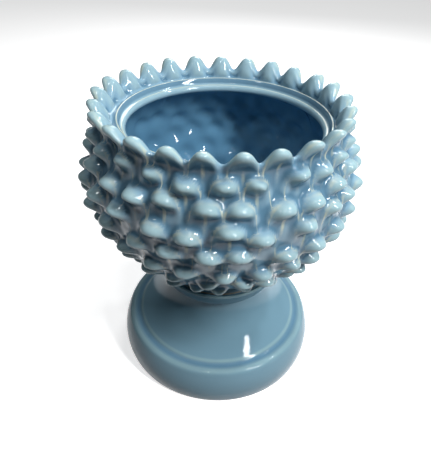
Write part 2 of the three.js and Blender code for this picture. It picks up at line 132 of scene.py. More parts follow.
def melted(values: np.ndarray, along: int, across: int) -> np.ndarray:
    """Rounds a grid of values off, as thick glaze does, round a closed ring.

    Args:
        values: Rings by columns, with or without coordinates behind them.
        along: Passes from ring to ring.
        across: Passes from column to column.

    Returns:
        The rounded grid; its first and last ring stay as they are along the wall.
    """
    rounded = values.copy()
    for _ in range(along):
        rounded[1:-1] = (rounded[:-2] + 2 * rounded[1:-1] + rounded[2:]) / 4
    for _ in range(across):
        rounded = (np.roll(rounded, 1, 1) + 2 * rounded + np.roll(rounded, -1, 1)) / 4
    return rounded


def skin_mesh(name: str, grids: list[RingGrid], poles: tuple[float, float]) -> bpy.types.Object:
    """Joins grids of rings into one closed skin with a point on the axis at each end.

    Args:
        name: Name of the new object.
        grids: Grids in order; the next one has as many columns, or half as many.
        poles: Heights of the first and the last point on the axis, in millimetres.

    Returns:
        The new object, with its values as vertex attributes.
    """
    rings = [(grid, row) for grid in grids for row in range(grid.points.shape[0])]
    counts = [grid.points.shape[1] for grid, _ in rings]
    starts = np.concatenate([[0], np.cumsum(counts)])
    points = np.concatenate([grid.points.reshape(-1, 3) for grid in grids])
    first_pole = len(points)
    points = np.vstack([points, [[0, 0, poles[0]], [0, 0, poles[1]]]])
    faces: list[tuple[int, ...]] = []
    for i in range(1, len(rings)):
        faces.extend(ring_faces(int(starts[i - 1]), counts[i - 1], int(starts[i]), counts[i]))
    for start, count, pole, flip in (
        (0, counts[0], first_pole, True),
        (int(starts[-2]), counts[-1], first_pole + 1, False),
    ):
        for column in range(count):
            here, after = start + column, start + (column + 1) % count
            faces.append((pole, after, here) if flip else (pole, here, after))
    mesh = bpy.data.meshes.new(name)
    mesh.from_pydata((points * MM).tolist(), [], faces)
    for role in Role:
        values = np.concatenate([grid.value(role).ravel() for grid in grids] + [[0.0, 0.0]])
        if role in (Role.INSIDE, Role.BARE):
            values[first_pole] = values[0]
            values[first_pole + 1] = values[first_pole - 1]
        attribute = mesh.attributes.new(role.value, "FLOAT", "POINT")
        attribute.data.foreach_set("value", values.astype(np.float32))
    mesh.shade_smooth()
    mesh.update()
    piece = bpy.data.objects.new(name, mesh)
    bpy.context.scene.collection.objects.link(piece)
    return piece


def ring_faces(lower: int, lower_count: int, upper: int, upper_count: int) -> list[tuple[int, ...]]:
    """Joins two rings, where one may have twice the points.

    Args:
        lower: Number of the first ring's first point.
        lower_count: Points in the first ring.
        upper: Number of the second ring's first point.
        upper_count: Points in the second ring.

    Returns:
        The faces between them.
    """
    count = min(lower_count, upper_count)
    lower_step, upper_step = lower_count // count, upper_count // count
    faces: list[tuple[int, ...]] = []
    for column in range(count):
        a = lower + column * lower_step
        b = lower + (column + 1) * lower_step % lower_count
        c = upper + (column + 1) * upper_step % upper_count
        d = upper + column * upper_step
        if lower_step == 2:
            faces.append((a, a + 1, d))
            faces.append((a + 1, b, c, d))
        elif upper_step == 2:
            faces.append((a, d + 1, d))
            faces.append((a, b, c, d + 1))
        else:
            faces.append((a, b, c, d))
    return faces


# ------------------------------------------------------------------ finishes
def add_node(
    tree: bpy.types.NodeTree,
    kind: str,
    settings: dict | None = None,
    links: dict | None = None,
) -> bpy.types.Node:
    """Adds one node with its settings and what feeds it.

    Args:
        tree: The material's node tree.
        kind: Blender's name of the node type.
        settings: Values by attribute name, or by input name or number.
        links: Output sockets by input name or number.

    Returns:
        The new node.
    """
    node = tree.nodes.new(kind)
    for name, value in (settings or {}).items():
        if isinstance(name, str) and hasattr(node, name):
            setattr(node, name, value)
        else:
            node.inputs[name].default_value = value
    for name, output in (links or {}).items():
        tree.links.new(output, node.inputs[name])
    return node


@dataclass(frozen=True)
class BlueGlaze:
    """Gloss duck-egg glaze over cream earthenware, dipped and fired.

    It is glassy and wet to the eye. It runs off crests and edges, where the cream body
    shows through, and gathers in hollows, where it is a deeper blue. That blue is darkened
    further as painted shade, and the pot's inside is painted a deeper blue as shade.
    """

    name: str
    body: str
    crest: str
    # Colour where glaze pools, darkened further as painted shade in the hollows.
    pooled_and_shade: str
    broken: str
    # Colour of the inside; on the pot it is a deeper blue, painted shade of its dim interior.
    hollow: str
    clay: str = "#c9b491"
    roughness: float = 0.07  # fired gloss, close to glass
    clay_roughness: float = 0.7  # wiped foot rings
    gloss: float = 0.28  # specular level, low because the glaze shows little of the room
    edge_place_mm: float = 2.2  # the break lies this far in from a scale's outline
    edge_width_mm: float = 2.3
    rib_width_mm: float = 2.3
    wear: tuple[float, float] = (0.4, 0.68)  # mottle between which the breaks come and go
    ripple_mm: float = 9.0  # spacing of the waves that dipping leaves
    ripple_height_mm: float = 0.6
    mottle_mm: float = 14.0  # size of the thicker and the thinner patches

    def build(self) -> bpy.types.Material:
        """Builds the glaze as a node material.

        Returns:
            The material.
        """
        material = bpy.data.materials.new(self.name)
        material.use_nodes = True
        tree = material.node_tree
        tree.nodes.clear()
        values = {role: self._value(tree, role) for role in Role}
        place = add_node(tree, "ShaderNodeTexCoord").outputs["Object"]
        mottle = add_node(
            tree,
            "ShaderNodeTexNoise",
            {"Scale": 1.0 / (self.mottle_mm * MM), "Detail": 3.0, "Roughness": 0.55},
            {"Vector": place},
        ).outputs["Fac"]
        thin = self._shifted(tree, values[Role.THIN], mottle, 0.35)
        pool_and_shade = self._shifted(tree, values[Role.POOL_AND_SHADE], mottle, 0.25)
        colour = self._mixed(tree, thin, self.body, self.crest)
        # Hollows take the darker pooled colour: glaze pooling with painted shade.
        colour = self._mixed(tree, pool_and_shade, colour, self.pooled_and_shade)
        edge = self._line(tree, values[Role.EDGE], self.edge_place_mm, self.edge_width_mm)
        edge = self._joined(tree, "MULTIPLY", edge, values[Role.EDGE_BREAK])
        rib = self._line(tree, values[Role.RIB], 0.0, self.rib_width_mm)
        rib = self._joined(tree, "MULTIPLY", rib, values[Role.RIB_BREAK])
        worn = {"From Min": self.wear[0], "From Max": self.wear[1]}
        wear = add_node(tree, "ShaderNodeMapRange", worn, {"Value": mottle}).outputs[0]
        lines = self._joined(tree, "MAXIMUM", edge, rib)
        lines = self._joined(tree, "MULTIPLY", lines, wear)
        lines = self._joined(tree, "MAXIMUM", lines, values[Role.CREAM])
        colour = self._mixed(tree, lines, colour, self.broken)
        # The pot's inside takes a deeper blue, as painted shade of the dim interior.
        colour = self._mixed(tree, values[Role.INSIDE], colour, self.hollow)
        colour = self._mixed(tree, values[Role.BARE], colour, self.clay)
        ripple = add_node(
            tree,
            "ShaderNodeTexNoise",
            {"Scale": 1.0 / (self.ripple_mm * MM), "Detail": 1.5},
            {"Vector": place},
        ).outputs["Fac"]
        waves = {"Strength": 0.12, "Distance": self.ripple_height_mm * MM}
        bump = add_node(tree, "ShaderNodeBump", waves, {"Height": ripple}).outputs[0]
        dull = {"To Min": self.roughness, "To Max": self.clay_roughness}
        rough = add_node(tree, "ShaderNodeMapRange", dull, {"Value": values[Role.BARE]}).outputs[0]
        shader = add_node(
            tree,
            "ShaderNodeBsdfPrincipled",
            {"IOR": 1.5, "Specular IOR Level": self.gloss},
            {"Base Color": colour, "Roughness": rough, "Normal": bump},
        )
        add_node(tree, "ShaderNodeOutputMaterial", None, {"Surface": shader.outputs[0]})
        return material

    @staticmethod
    def _value(tree: bpy.types.NodeTree, role: Role) -> bpy.types.NodeSocket:
        """Returns the socket that reads one vertex value."""
        return add_node(tree, "ShaderNodeAttribute", {"attribute_name": role.value}).outputs["Fac"]

    @staticmethod
    def _joined(
        tree: bpy.types.NodeTree,
        way: str,
        first: bpy.types.NodeSocket,
        second: bpy.types.NodeSocket,
    ) -> bpy.types.NodeSocket:
        """Returns two values joined by Blender's named operation."""
        return add_node(tree, "ShaderNodeMath", {"operation": way}, {0: first, 1: second}).outputs[0]

    @staticmethod
    def _shifted(
        tree: bpy.types.NodeTree,
        value: bpy.types.NodeSocket,
        mottle: bpy.types.NodeSocket,
        amount: float,
    ) -> bpy.types.NodeSocket:
        """Makes a value uneven.

        Args:
            tree: The material's node tree.
            value: The value, from 0 to 1.
            mottle: The noise of thicker and thinner glaze.
            amount: The largest share by which the value changes.

        Returns:
            The uneven value, still from 0 to 1.
        """
        spread = {"To Min": 1.0 - amount, "To Max": 1.0 + amount}
        uneven = add_node(tree, "ShaderNodeMapRange", spread, {"Value": mottle}).outputs[0]
        kept = {"operation": "MULTIPLY", "use_clamp": True}
        return add_node(tree, "ShaderNodeMath", kept, {0: value, 1: uneven}).outputs[0]

    @staticmethod
    def _mixed(
        tree: bpy.types.NodeTree,
        share: bpy.types.NodeSocket,
        first: str | bpy.types.NodeSocket,
        second: str,
    ) -> bpy.types.NodeSocket:
        """Mixes a colour towards a second one.

        Args:
            tree: The material's node tree.
            share: How much of the second colour.
            first: A hex colour, or the socket of a colour.
            second: A hex colour.

        Returns:
            The mixed colour.
        """
        node = add_node(tree, "ShaderNodeMix", {"data_type": "RGBA"}, {0: share})
        if isinstance(first, str):
            node.inputs[6].default_value = linear_colour(first)
        else:
            tree.links.new(first, node.inputs[6])
        node.inputs[7].default_value = linear_colour(second)
        return node.outputs[2]

    @staticmethod
    def _line(
        tree: bpy.types.NodeTree,
        distance: bpy.types.NodeSocket,
        place: float,
        width: float,
    ) -> bpy.types.NodeSocket:
        """Draws a soft line where a distance is near a place.

        Args:
            tree: The material's node tree.
            distance: The distance in millimetres.
            place: Where the line lies.
            width: How far it fades out to each side.

        Returns:
            The line's strength, from 0 to 1.
        """
        shift = {"operation": "SUBTRACT", 1: place}
        away = add_node(tree, "ShaderNodeMath", shift, {0: distance}).outputs[0]
        away = add_node(tree, "ShaderNodeMath", {"operation": "ABSOLUTE"}, {0: away}).outputs[0]
        fade = {"interpolation_type": "SMOOTHSTEP", "From Min": width, "From Max": 0.0}
        return add_node(tree, "ShaderNodeMapRange", fade, {"Value": away}).outputs[0]


POT_GLAZE = BlueGlaze(
    name="duck_egg_glaze_pot",
    body="#7c9db0",
    crest="#93b0b7",
    # The pooled colour is glaze pooling with painted shade in the hollows.
    pooled_and_shade="#54788f",
    broken="#c9cdb4",
    # The inside's deeper blue is painted shade of the pot's dim interior.
    hollow="#55829f",
)
STAND_GLAZE = BlueGlaze(
    name="duck_egg_glaze_stand",
    body="#7093a4",
    crest="#8facb1",
    # The pooled colour carries painted shade into the groove and the seat's corner.
    pooled_and_shade="#597f99",
    broken="#b9c4b4",
    hollow="#7f9ba6",
    gloss=0.14,
)


# ------------------------------------------------------------------ the pot
@dataclass(frozen=True)
class ScaleRow:
    """One row of scales round the pot.

    Attributes:
        drop: Tips of the rim down to this row's tips.
        turn: Degrees by which the row is turned from the front.
        lip: How far the tips stand off the wall.
        wander: How far tips stray up and down.
        stray: How far tips stray round the pot, in degrees.
    """

    drop: float
    turn: float
    lip: float
    wander: float
    stray: float


# From the top down; the first row makes the teeth of the rim.
ROWS = (
    ScaleRow(0, -5.2, 12.5, 0, 0.8),
    ScaleRow(14.5, 2, 14, 2.5, 2.4),
    ScaleRow(33.0, -5.2, 15, 4, 2.4),
    ScaleRow(53.0, 3.2, 15, 5.5, 2.4),
    ScaleRow(78.5, -4.4, 15, 5.5, 2.4),
    ScaleRow(104.0, 2.8, 15, 5, 2.4),
    ScaleRow(127.0, -4.6, 15, 4, 2.4),
    ScaleRow(148.0, 2.6, 13, 2, 1.5),
)


@dataclass
class PotWall:
    """The pot's wall between the scales, as a curve from the foot ring to the rim.

    Heights count from the pot's foot. A station is the distance along the wall.
    """

    foot_radius: float
    foot_rise: float
    rim_height: float
    belly_radius: float = 129.3
    belly_drop: float = 72.0
    throat_radius: float = 114.5
    teeth_rise: float = 18.0
    rim_lean: float = 0.07
    bowl_roundness: float = 2.0
    bowl_fullness: float = 1.12
    lean_low: float = 2.0
    lean_top: float = 32.0
    steps: int = 800

    def __post_init__(self) -> None:
        """Measures the wall's length at many heights."""
        self.ridge_height = self.rim_height - self.teeth_rise
        self.heights = np.linspace(self.foot_rise, self.rim_height, self.steps)
        self.radii = self.radius_at(self.heights)
        lengths = np.hypot(np.diff(self.radii), np.diff(self.heights))
        self.stations = np.concatenate([[0.0], np.cumsum(lengths)])
        self.length = float(self.stations[-1])

    def radius_at(self, height: np.ndarray) -> np.ndarray:
        """Works out the wall's outline.

        Args:
            height: Height above the pot's foot.

        Returns:
            The radius of the wall there.
        """
        belly = self.rim_height - self.belly_drop
        drop = np.clip((belly - height) / (belly - self.foot_rise), 0.0, 1.0)
        swell = (1.0 - drop**self.bowl_roundness) ** self.bowl_fullness
        bowl = lerp(self.foot_radius, self.belly_radius, swell)
        rise = np.clip((height - belly) / (self.ridge_height - belly), 0.0, 1.0)
        draw_in = (1.0 - np.cos(math.pi * rise)) / 2.0
        lean = self.rim_lean * np.maximum(0.0, height - self.ridge_height)
        throat = lerp(self.belly_radius, self.throat_radius, draw_in) + lean
        return np.where(height < belly, bowl, throat)

    def station_of(self, height: float) -> float:
        """Returns the station of a height."""
        return float(np.interp(height, self.heights, self.stations))

    def place(self, station: np.ndarray) -> tuple[np.ndarray, np.ndarray]:
        """Returns the radius and the height at a station."""
        found = (np.interp(station, self.stations, line) for line in (self.radii, self.heights))
        return tuple(found)

    def outward(self, station: np.ndarray) -> tuple[np.ndarray, np.ndarray]:
        """Works out which way the wall faces.

        Args:
            station: Distance along the wall.

        Returns:
            The radial and the upward part of the direction out of the wall.
        """
        step = 1.0
        low_radius, low_height = self.place(station - step)
        high_radius, high_height = self.place(station + step)
        length = np.hypot(high_radius - low_radius, high_height - low_height)
        return (high_height - low_height) / length, -(high_radius - low_radius) / length

    def lean(self, height: np.ndarray) -> np.ndarray:
        """Returns the angle by which scales point up at a height, in radians."""
        share = height / self.rim_height
        return np.radians(lerp(self.lean_low, self.lean_top, share * share))


@dataclass
class ScaleCoat:
    """The leaf scales as relief on the pot's wall, each a little different.

    A scale has a thick nose at its tip, legs that run down beside it, and a ribbed face.
    """

    wall: PotWall
    count: int = 25
    length: float = 25.0
    half_width: float = 15.2
    tip_round: float = 7.0
    leg_power: float = 8.0
    spread: float = 1.3
    nose_share: float = 0.2
    lip_edge: float = 11.5
    lip_fullness: float = 0.6
    lip_undercut: float = 4.0
    leg_height: float = 2.6
    leg_edge: float = 1.8
    face_height: float = 2.0
    face_reach: float = 0.8
    face_fade: float = 0.8
    lip_fade: float = 0.4
    rib_height: float = 1.0
    rib_width: float = 2.2
    rib_start: float = 9.0
    rib_ramp: float = 5.0
    blend_power: float = 5.0
    size_stray: float = 0.1
    tilt_stray: float = 0.16
    tilt_centre: float = 8.0
    hand: int = 358393  # fixes the hand-made differences
    edge_break_tip: float = 0.25
    edge_break_leg: float = 0.9
    far: float = 30.0  # distance told to the glaze where there is no scale

    def __post_init__(self) -> None:
        """Sets every scale's own angle, station, size and lip."""
        self.pitch = TAU / self.count
        self.rows = [self._scales_of(index, row) for index, row in enumerate(ROWS)]

    def _stray(self, row: int, kind: int) -> np.ndarray:
        """Draws the hand-made differences of a row, the same at each run.

        Args:
            row: Number of the row from the rim.
            kind: Number of the size that strays.

        Returns:
            A number from -1 to 1 for each scale.
        """
        scale = np.arange(self.count)
        wave = np.sin(row * 12.9898 + scale * 78.233 + kind * 37.719 + self.hand) * 43758.5453
        return 2.0 * (wave - np.floor(wave)) - 1.0

    def _scales_of(self, index: int, row: ScaleRow) -> dict[str, np.ndarray]:
        """Sets out the scales of one row.

        Args:
            index: Number of the row from the rim.
            row: Its measures.

        Returns:
            Arrays with a value for each scale, by name.
        """
        tip = self.wall.rim_height - row.drop
        lift = 0.0 if index == 0 else row.lip * math.sin(float(self.wall.lean(tip)))
        station = self.wall.station_of(tip - lift)
        reach = float(self.wall.place(station)[0]) / self.wall.belly_radius
        turn = np.radians(row.turn - 90.0 + row.stray * self._stray(index, 1))
        return {
            "mean": np.float64(station),
            "angle": turn + np.arange(self.count) * self.pitch,
            "station": station + row.wander * self._stray(index, 2),
            "size": reach * (1.0 + self.size_stray * self._stray(index, 3)),
            "lip": row.lip * (1.0 + self.size_stray * self._stray(index, 4)),
            "tilt": self.tilt_stray * self._stray(index, 5) * (0.0 if index == 0 else 1.0),
        }

    def face_length(self, index: int) -> float:
        """Returns how far down the faces of a row, counted from the rim, reach."""
        below = self.rows[min(index + 2, len(self.rows) - 1)]
        return max(float(self.rows[index]["mean"] - below["mean"]), self.length * self.face_reach)

    def arch(self, across: np.ndarray, size: np.ndarray) -> tuple[np.ndarray, np.ndarray]:
        """Works out the arched outline of a scale.

        Args:
            across: Distance sideways from its rib.
            size: Its size beside the usual one.

        Returns:
            How far the outline has dropped below the tip, and its slope there.
        """
        side = across / (self.half_width * size)
        arc = self.tip_round * size * side**2
        legs = (self.length - self.tip_round) * size * side**self.leg_power
        return arc + legs, (2.0 * arc + self.leg_power * legs) / np.maximum(across, 0.01)

    def relief(
        self, angle: np.ndarray, station: np.ndarray
    ) -> tuple[np.ndarray, dict[Role, np.ndarray]]:
        """Works out the coat of scales at each point of a grid.

        Args:
            angle: Angle round the pot, rings by columns.
            station: Distance along the wall, rings by columns.

        Returns:
            The height above the wall, and the values that place the glaze's breaks.
        """
        radius = self.wall.place(station)[0]
        total = np.zeros_like(station)
        top = np.zeros_like(station)
        values = {role: np.full_like(station, self.far) for role in (Role.EDGE, Role.RIB)}
        values.update({role: np.zeros_like(station) for role in (Role.EDGE_BREAK, Role.RIB_BREAK)})
        for index, row in enumerate(self.rows):
            reach = self.face_length(index)
            nearest = np.round((angle - math.radians(ROWS[index].turn - 90.0)) / self.pitch)
            for step in (-1, 0, 1):
                scale = (nearest.astype(int) + step) % self.count
                across = radius * wrapped(angle - row["angle"][scale])
                down = row["station"][scale] - station
                across = across - row["tilt"][scale] * (down - self.tilt_centre)
                height, found = self._one(across, down, row["size"][scale], row["lip"][scale], reach)
                total += height**self.blend_power
                shown = height > top
                top = np.where(shown, height, top)
                for role, value in found.items():
                    values[role] = np.where(shown, value, values[role])
        return total ** (1.0 / self.blend_power), values

    def _one(
        self,
        across: np.ndarray,
        down: np.ndarray,
        size: np.ndarray,
        lip: np.ndarray,
        reach: float,
    ) -> tuple[np.ndarray, dict[Role, np.ndarray]]:
        """Works out one scale.

        Args:
            across: Distance sideways from its rib.
            down: Distance down from its tip.
            size: Its size beside the usual one.
            lip: How far its tip stands off the wall.
            reach: Length of its face.

        Returns:
            Its height above the wall, and its own values for the glaze.
        """
        aside = np.abs(across)
        side = aside / (self.half_width * size)
        arch, slope = self.arch(aside, size)
        inside = (down - arch) / np.hypot(1.0, slope)
        leg = np.minimum(1.0, side)
        ebb = smoothstep(leg, self.nose_share, 1.0)
        crest = lerp(lip, self.leg_height, ebb)
        edge = lerp(self.lip_edge, self.leg_edge, ebb) * size
        part = np.clip(inside / edge, 0.0, 1.0)
        rise = (1.0 - (1.0 - part) ** 2) ** self.lip_fullness
        under = smoothstep(inside - edge, 0.0, self.lip_undercut)
        run_out = np.clip(1.0 - down / reach, 0.0, 1.0)
        rib_rise = smoothstep(down, self.rib_start, self.rib_start + self.rib_ramp)
        rib = self.rib_height * np.exp(-((across / self.rib_width) ** 2)) * rib_rise
        face = (self.face_height + rib) * np.minimum(1.0, run_out / self.face_fade)
        hood = np.maximum(0.0, crest - face) * (1.0 - under) * np.minimum(1.0, run_out / self.lip_fade)
        held = (side < self.spread) & (down > 0.0) & (down < reach) & (inside > 0.0)
        height = np.where(held, rise * (face + hood), 0.0)
        found = {
            Role.EDGE: inside,
            Role.RIB: aside,
            Role.EDGE_BREAK: lerp(self.edge_break_tip, self.edge_break_leg, leg)
            * smoothstep(run_out, 0.1, 0.4),
            Role.RIB_BREAK: rib_rise * smoothstep(run_out, 0.2, 0.6),
        }
        return height, found


@dataclass
class Jardiniere:
    """The pot: bowl, scales, toothed rim, ridged mouth and hollow, one glazed casting."""

    foot: float
    rim_height: float
    foot_radius: float = 61.1
    foot_rise: float = 6.7
    foot_width: float = 8.0
    foot_hollow: float = 3.5
    wall_thickness: float = 8.0
    floor_thickness: float = 11.0
    floor_corner: float = 9.0
    drift: float = 3.0  # the shell leans this far to -X at the rim
    mouth_radius: float = 94.5
    lip_width: float = 3.4
    bevel_width: float = 4.1
    bevel_drop: float = 6.6
    gutter_width: float = 4.3
    gutter_drop: float = 1.8
    mouth_drop: float = 14.0
    flange_corner: float = 7.0
    tooth_height: float = 11.5
    tooth_foot: float = 6.6
    tooth_tip: float = 4.5
    tooth_bevel: float = 5.0
    tooth_power: float = 1.4
    tooth_swell: float = 3.2
    columns: int = 450
    outer_rings: int = 160
    wave_reach: float = 60.0  # the rim's waves die out this far down
    inner_thin: float = 0.6
    dimple_share: float = 0.9
    inside_rings: int = 44
    relief_melt: tuple[int, int] = (2, 2)  # passes of rounding along and across the rings
    skin_melt: tuple[int, int] = (4, 2)
    crest_melt: tuple[int, int] = (16, 9)
    dimple_melt: tuple[int, int] = (14, 8)
    level_melt: tuple[int, int] = (90, 60)
    inside_melt: tuple[int, int] = (2, 1)

    def __post_init__(self) -> None:
        """Sets up the wall and its coat of scales."""
        self.wall = PotWall(self.foot_radius, self.foot_rise, self.rim_height)
        self.coat = ScaleCoat(self.wall)
        first = math.radians(ROWS[0].turn - 90.0)
        self.angles = first + np.arange(self.columns) * TAU / self.columns
        self.ridge = self.wall.ridge_height

    def build(self) -> bpy.types.Object:
        """Builds the pot.

        Returns:
            The pot as one closed skin.
        """
        grids = [self._foot(), *self._shell(), self._mouth(), self._inside()]
        floor = self.foot + self.foot_hollow + self.floor_thickness
        return skin_mesh("pot_casting", grids, (self.foot + self.foot_hollow, floor))

    def dress(self, piece: bpy.types.Object) -> None:
        """Glazes the pot and puts it in the place of its CAD node.

        Args:
            piece: The pot's skin.
        """
        piece.data.materials.append(POT_GLAZE.build())
        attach(piece, "pot")
        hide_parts("pot")

    def _at(
        self, angle: np.ndarray, radius: np.ndarray, height: np.ndarray, drift: float = 1.0
    ) -> np.ndarray:
        """Places points of the pot, whose shell leans a little to -X.

        Args:
            angle: Angle round the pot.
            radius: Distance from the axis.
            height: Height above the pot's foot.
            drift: Share of the shell's lean that the points take.

        Returns:
            The points, with their coordinates last.
        """
        shift = drift * self.drift * height / self.rim_height
        x = np.cos(angle) * radius - shift
        y = np.sin(angle) * radius
        return np.stack(np.broadcast_arrays(x, y, height + self.foot), axis=-1)

    def _rings(self, profile: list[Corner], columns: int, drift: float = 0.0) -> np.ndarray:
        """Turns a profile into plain rings.

        Args:
            profile: Radius and height above the foot, corner by corner.
            columns: Points in each ring.
            drift: Share of the shell's lean that the rings take.

        Returns:
            The rings' points.
        """
        angle = self.angles[:: self.columns // columns][None, :]
        radius = np.array([corner[0] for corner in profile])[:, None]
        height = np.array([corner[1] for corner in profile])[:, None]
        return self._at(angle, radius, height + 0.0 * angle, drift)

    def _foot(self) -> RingGrid:
        """Makes the foot ring that stands on the stand's seat.

        Returns:
            The ring, bare of glaze below.
        """
        inner = self.foot_radius - self.foot_width
        profile = [
            (inner - self.foot_hollow, self.foot_hollow),
            (inner - 0.8, 0.8),
            (inner + 0.8, 0.0),
            (self.foot_radius - 1.0, 0.0),
            (self.foot_radius - 0.2, 0.8),
            (self.foot_radius, self.foot_rise * 0.6),
        ]
        points = self._rings(profile, self.columns // 2)
        bare = np.zeros(points.shape[:2])
        bare[:5] = 1.0
        return RingGrid(points, {Role.BARE: bare})

    def _crest_drop(self) -> np.ndarray:
        """Works out the waves of the toothed rim.

        Returns:
            How far the crest line lies below the tips at each column.
        """
        tips = self.coat.rows[0]["angle"]
        around = np.concatenate([tips[-1:] - TAU, tips, tips[:1] + TAU])
        turned = around[0] + (self.angles - around[0]) % TAU
        before = np.clip(np.searchsorted(around, turned, side="right") - 1, 0, self.coat.count)
        share = (turned - around[before]) / (around[before + 1] - around[before])
        return self.tooth_height * ((1.0 - np.cos(TAU * share)) / 2.0) ** self.tooth_power

    def _shell(self) -> list[RingGrid]:
        """Makes the scaled outside, and the teeth over their crest to the gutter.

        Returns:
            The outside, then the part behind the teeth.
        """
        drop = self._crest_drop()
        level = np.linspace(0.0, self.wall.length, self.outer_rings)[:, None]
        near_rim = smoothstep(level, self.wall.length - self.wave_reach, self.wall.length)
        station = level - drop * near_rim
        angle = self.angles[None, :] + 0.0 * station
        relief, values = self.coat.relief(angle, station)
        self.relief = melted(relief, *self.relief_melt)
        radius, height = self.wall.place(station)
        lean = self.wall.lean(height)
        out = self.relief * np.cos(lean)
        outside = self._at(angle, radius + out, height + self.relief * np.sin(lean))
        behind = self._behind_teeth(radius[-1], height[-1], drop)
        whole = melted(np.concatenate([outside, behind]), *self.skin_melt)
        curve = self._convexity(whole)
        thin = smoothstep(curve, 0.1, 1.2)
        # Concave hollows get the pooled colour: glaze pooling with painted shade.
        pool_and_shade = smoothstep(-curve, 0.0, 0.8)
        count = self.outer_rings
        outer_values = {**values, Role.THIN: thin[:count], Role.POOL_AND_SHADE: pool_and_shade[:count]}
        inner_values = {Role.THIN: self.inner_thin * thin[count:], Role.POOL_AND_SHADE: pool_and_shade[count:]}
        return [RingGrid(whole[:count], outer_values), RingGrid(whole[count:], inner_values)]

    def _behind_teeth(self, radius: np.ndarray, height: np.ndarray, drop: np.ndarray) -> np.ndarray:
        """Carries the rim over the teeth's rounded crest and down to the gutter.

        Args:
            radius: Radius of the crest at each column.
            height: Height of the crest above the foot.
            drop: How far the crest lies below the tips.

        Returns:
            The rings' points.
        """
        thickness = lerp(self.tooth_foot, self.tooth_tip, (height - self.ridge) / self.wall.teeth_rise)
        rings = []
        for turn in np.radians([15.0, 35.0, 55.0, 75.0, 90.0]):
            inward = thickness * math.sin(turn)
            fall = self.tooth_bevel * (1.0 - math.cos(turn))
            rings.append(self._at(self.angles, radius - inward, height - fall))
        level = 0.0 * self.angles
        gutter_radius = self.mouth_radius + self.lip_width + self.bevel_width + self.gutter_width
        gutter_height = self.ridge - self.gutter_drop
        gutter = self._at(self.angles, gutter_radius + level, gutter_height + level, 0.5)
        last = rings[-1]
        over_tooth = 1.0 - 2.0 * drop / self.tooth_height
        for part in (0.17, 0.33, 0.5, 0.67, 0.83, 1.0):
            between = lerp(last, gutter, part)
            swell = self.tooth_swell * math.sin(math.pi * part) * over_tooth
            away = np.hypot(between[:, 0], between[:, 1])
            between[:, :2] *= (1.0 - swell / away)[:, None]
            rings.append(between)
        return np.stack(rings)

    def _convexity(self, points: np.ndarray) -> np.ndarray:
        """Finds crests, where glaze runs thin, and hollows, where it gathers.

        Args:
            points: Rings by columns by coordinates.

        Returns:
            How far each point stands out from those round it, in millimetres.
        """
        away = points - melted(points, *self.crest_melt)
        centre = points.mean(axis=(0, 1))
        tangent_across = np.roll(points, -1, 1) - np.roll(points, 1, 1)
        tangent_along = np.gradient(points, axis=0)
        normal = np.cross(tangent_across, tangent_along)
        normal /= np.maximum(np.linalg.norm(normal, axis=-1, keepdims=True), 1e-9)
        outward = np.sum(normal * (points - centre), axis=-1)
        if np.median(outward) < 0:
            normal = -normal
        return np.sum(away * normal, axis=-1)

    def _mouth(self) -> RingGrid:
        """Makes the ridges round the mouth and the lip under them.

        Returns:
            The rings, with cream on the ridges and deep glaze between them.
        """
        inner_ridge = self.mouth_radius + self.lip_width
        ridge = inner_ridge + self.bevel_width
        gutter = ridge + self.gutter_width
        top = self.ridge
        low = top - self.bevel_drop
        mouth = top - self.mouth_drop
        profile = [
            (gutter - 1.4, top - self.gutter_drop - 0.1),
            (gutter - 2.8, top - self.gutter_drop + 0.9),
            (ridge + 0.7, top - 0.3),
            (ridge, top),
            (ridge - 0.8, top - 0.5),
            (lerp(ridge, inner_ridge, 0.5), lerp(top, low, 0.5) - 0.9),
            (inner_ridge + 0.7, low - 0.2),
            (inner_ridge, low),
            (inner_ridge - 1.0, low - 0.4),
            (self.mouth_radius + 0.7, low - 1.8),
            (self.mouth_radius, low - 3.6),
            (self.mouth_radius, mouth + 2.2),
            (self.mouth_radius + 0.8, mouth + 0.6),
            (self.mouth_radius + 2.4, mouth),
        ]
        points = self._rings(profile, self.columns // 2)
        thin, pool_and_shade, cream = (np.zeros(points.shape[:2]) for _ in range(3))
        thin[6:11] = 0.4
        cream[3], cream[7], cream[8] = 0.9, 0.7, 0.1
        # The gutter and the bevel take the pooled colour: glaze pooling with painted shade.
        pool_and_shade[:2], pool_and_shade[4:6] = 0.6, 0.8
        return RingGrid(points, {Role.THIN: thin, Role.POOL_AND_SHADE: pool_and_shade, Role.CREAM: cream})

